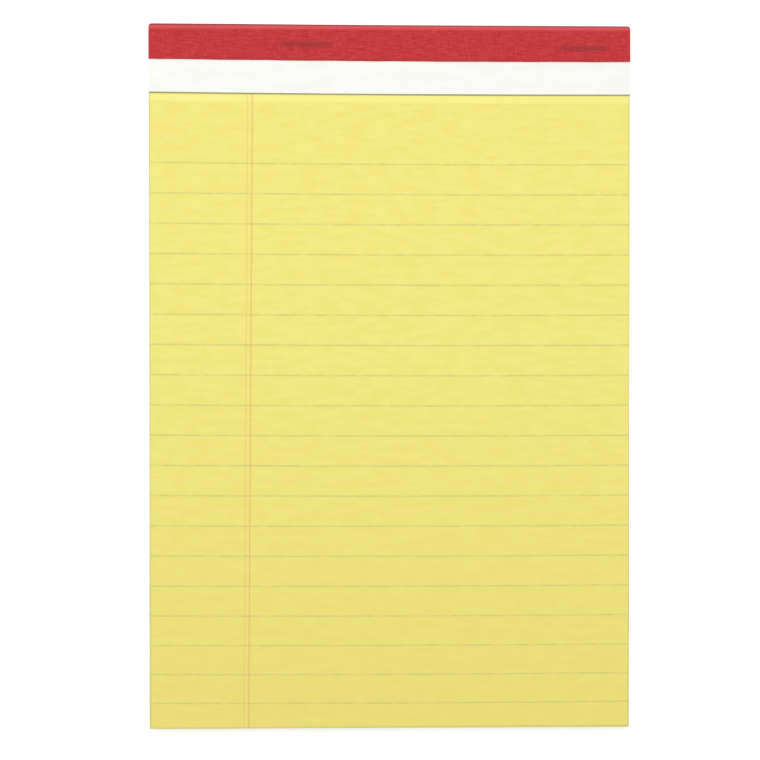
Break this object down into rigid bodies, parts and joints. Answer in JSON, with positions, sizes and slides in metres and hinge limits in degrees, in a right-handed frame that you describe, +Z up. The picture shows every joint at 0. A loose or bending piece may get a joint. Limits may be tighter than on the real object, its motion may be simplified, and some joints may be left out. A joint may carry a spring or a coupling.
{
  "type": "legal pad",
  "caption": "Stapled writing pad of ruled yellow sheets on a chipboard back, with a white strip and a red cloth tape folded over its head.",
  "frame": {"origin": "under the middle of the pad, on the surface that it lies on", "axes": "+X across the sheets to the right as they are read, +Y from the foot to the bound head, +Z up out of the top sheet"},
  "size_m": [0.127, 0.186, 0.0066],
  "materials": {
    "chipboard": "uncoated grey board",
    "yellow_paper": "uncoated, ruled",
    "white_card": "smooth uncoated card",
    "red_cloth_tape": "fine woven cloth, coated",
    "galvanised_wire": "drawn wire"
  },
  "bodies": {
    "root": {"backing_board": "chipboard", "pages": "yellow_paper", "label_strip": "white_card", "binding_tape": "red_cloth_tape", "staple_left": "galvanised_wire", "staple_right": "galvanised_wire"}
  },
  "joints": []
}
